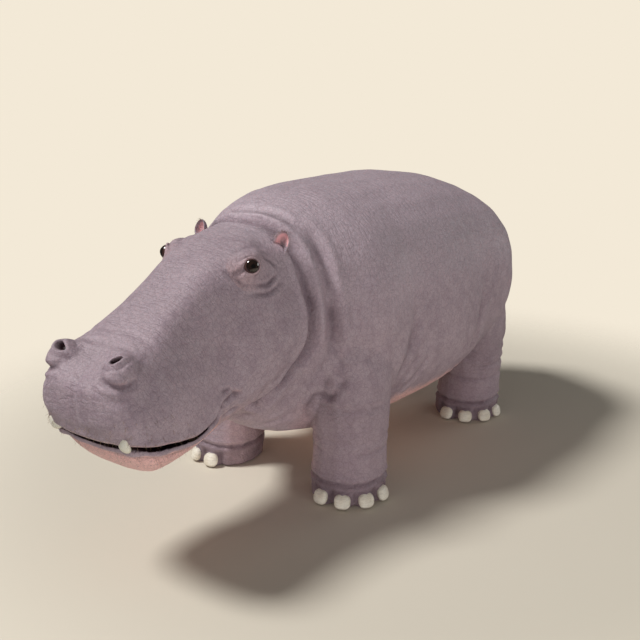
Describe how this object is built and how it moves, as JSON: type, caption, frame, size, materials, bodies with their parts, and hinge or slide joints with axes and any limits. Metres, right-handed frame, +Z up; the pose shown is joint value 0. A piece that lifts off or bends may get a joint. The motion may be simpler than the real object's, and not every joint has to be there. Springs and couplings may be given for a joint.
{
  "type": "hippopotamus",
  "caption": "Life-size still model of a standing hippopotamus with a barrel body, a lowered broad head, raised eyes and nostrils, short tusk tips and thick legs.",
  "frame": {"origin": "on the floor, at the middle of the bounding box", "axes": "+Z up, the head faces -Y, +X is the animal's left side"},
  "size_m": [1.306, 3.2008, 1.5102],
  "materials": {
    "hide": "thick bare mauve-grey skin, satin",
    "chin_hide": "thin pink-brown skin, satin",
    "ear_hide": "thin pink-grey skin, satin",
    "nail": "worn horn",
    "tusk": "polished ivory",
    "eye": "wet, glossy"
  },
  "bodies": {
    "root": {"head": "hide", "lower_jaw": "chin_hide", "neck": "hide", "trunk": "hide", "tail": "hide", "ear_left": "ear_hide", "eye_left": "eye", "tusk_left": "tusk", "ear_right": "ear_hide", "eye_right": "eye", "tusk_right": "tusk", "fore_leg_left": "hide", "fore_foot_left": "hide", "nail_fore_left_1": "nail", "nail_fore_left_2": "nail", "nail_fore_left_3": "nail", "nail_fore_left_4": "nail", "fore_leg_right": "hide", "fore_foot_right": "hide", "nail_fore_right_1": "nail", "nail_fore_right_2": "nail", "nail_fore_right_3": "nail", "nail_fore_right_4": "nail", "hind_leg_left": "hide", "hind_foot_left": "hide", "nail_hind_left_1": "nail", "nail_hind_left_2": "nail", "nail_hind_left_3": "nail", "nail_hind_left_4": "nail", "hind_leg_right": "hide", "hind_foot_right": "hide", "nail_hind_right_1": "nail", "nail_hind_right_2": "nail", "nail_hind_right_3": "nail", "nail_hind_right_4": "nail"}
  },
  "joints": []
}
